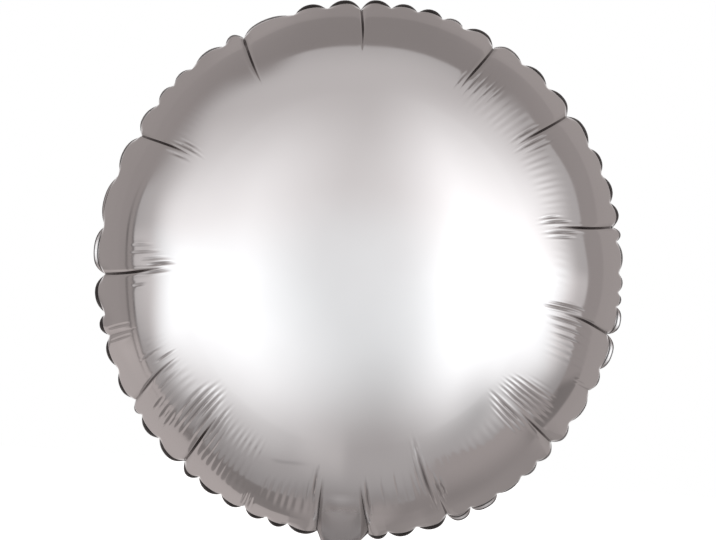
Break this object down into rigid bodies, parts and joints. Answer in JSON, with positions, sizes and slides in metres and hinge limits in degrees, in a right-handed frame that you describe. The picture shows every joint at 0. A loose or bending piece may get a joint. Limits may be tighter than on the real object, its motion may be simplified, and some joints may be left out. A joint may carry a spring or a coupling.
{
  "type": "round foil balloon",
  "caption": "Blown-up round balloon of satin metallised foil, creased and scalloped at its sealed edge, with a neck and a flat filling tail that folds.",
  "frame": {"origin": "middle of the blown-up envelope, where the air carries it", "axes": "the front panel faces -Y, the neck and tail point to -Z, and +X is to the right as the front is seen"},
  "size_m": [0.3607, 0.176, 0.4471],
  "materials": {
    "foil": "satin metallised film",
    "sealed_foil": "heat-sealed metallised film",
    "valve_film": "thin clear film"
  },
  "bodies": {
    "envelope": {"front_panel": "foil", "back_panel": "foil", "seam_band": "sealed_foil", "neck_front": "foil", "neck_back": "foil"},
    "tail": {"tail_front_ply": "foil", "tail_back_ply": "foil", "tail_seal_left": "sealed_foil", "tail_seal_right": "sealed_foil", "valve_front_film": "valve_film", "valve_back_film": "valve_film"}
  },
  "joints": [
    {"name": "tail_fold", "type": "hinge", "parent": "envelope", "child": "tail", "pos_m": [0, 0, -0.2165], "axis": [1, 0, 0], "range_deg": [-120, 120]}
  ]
}
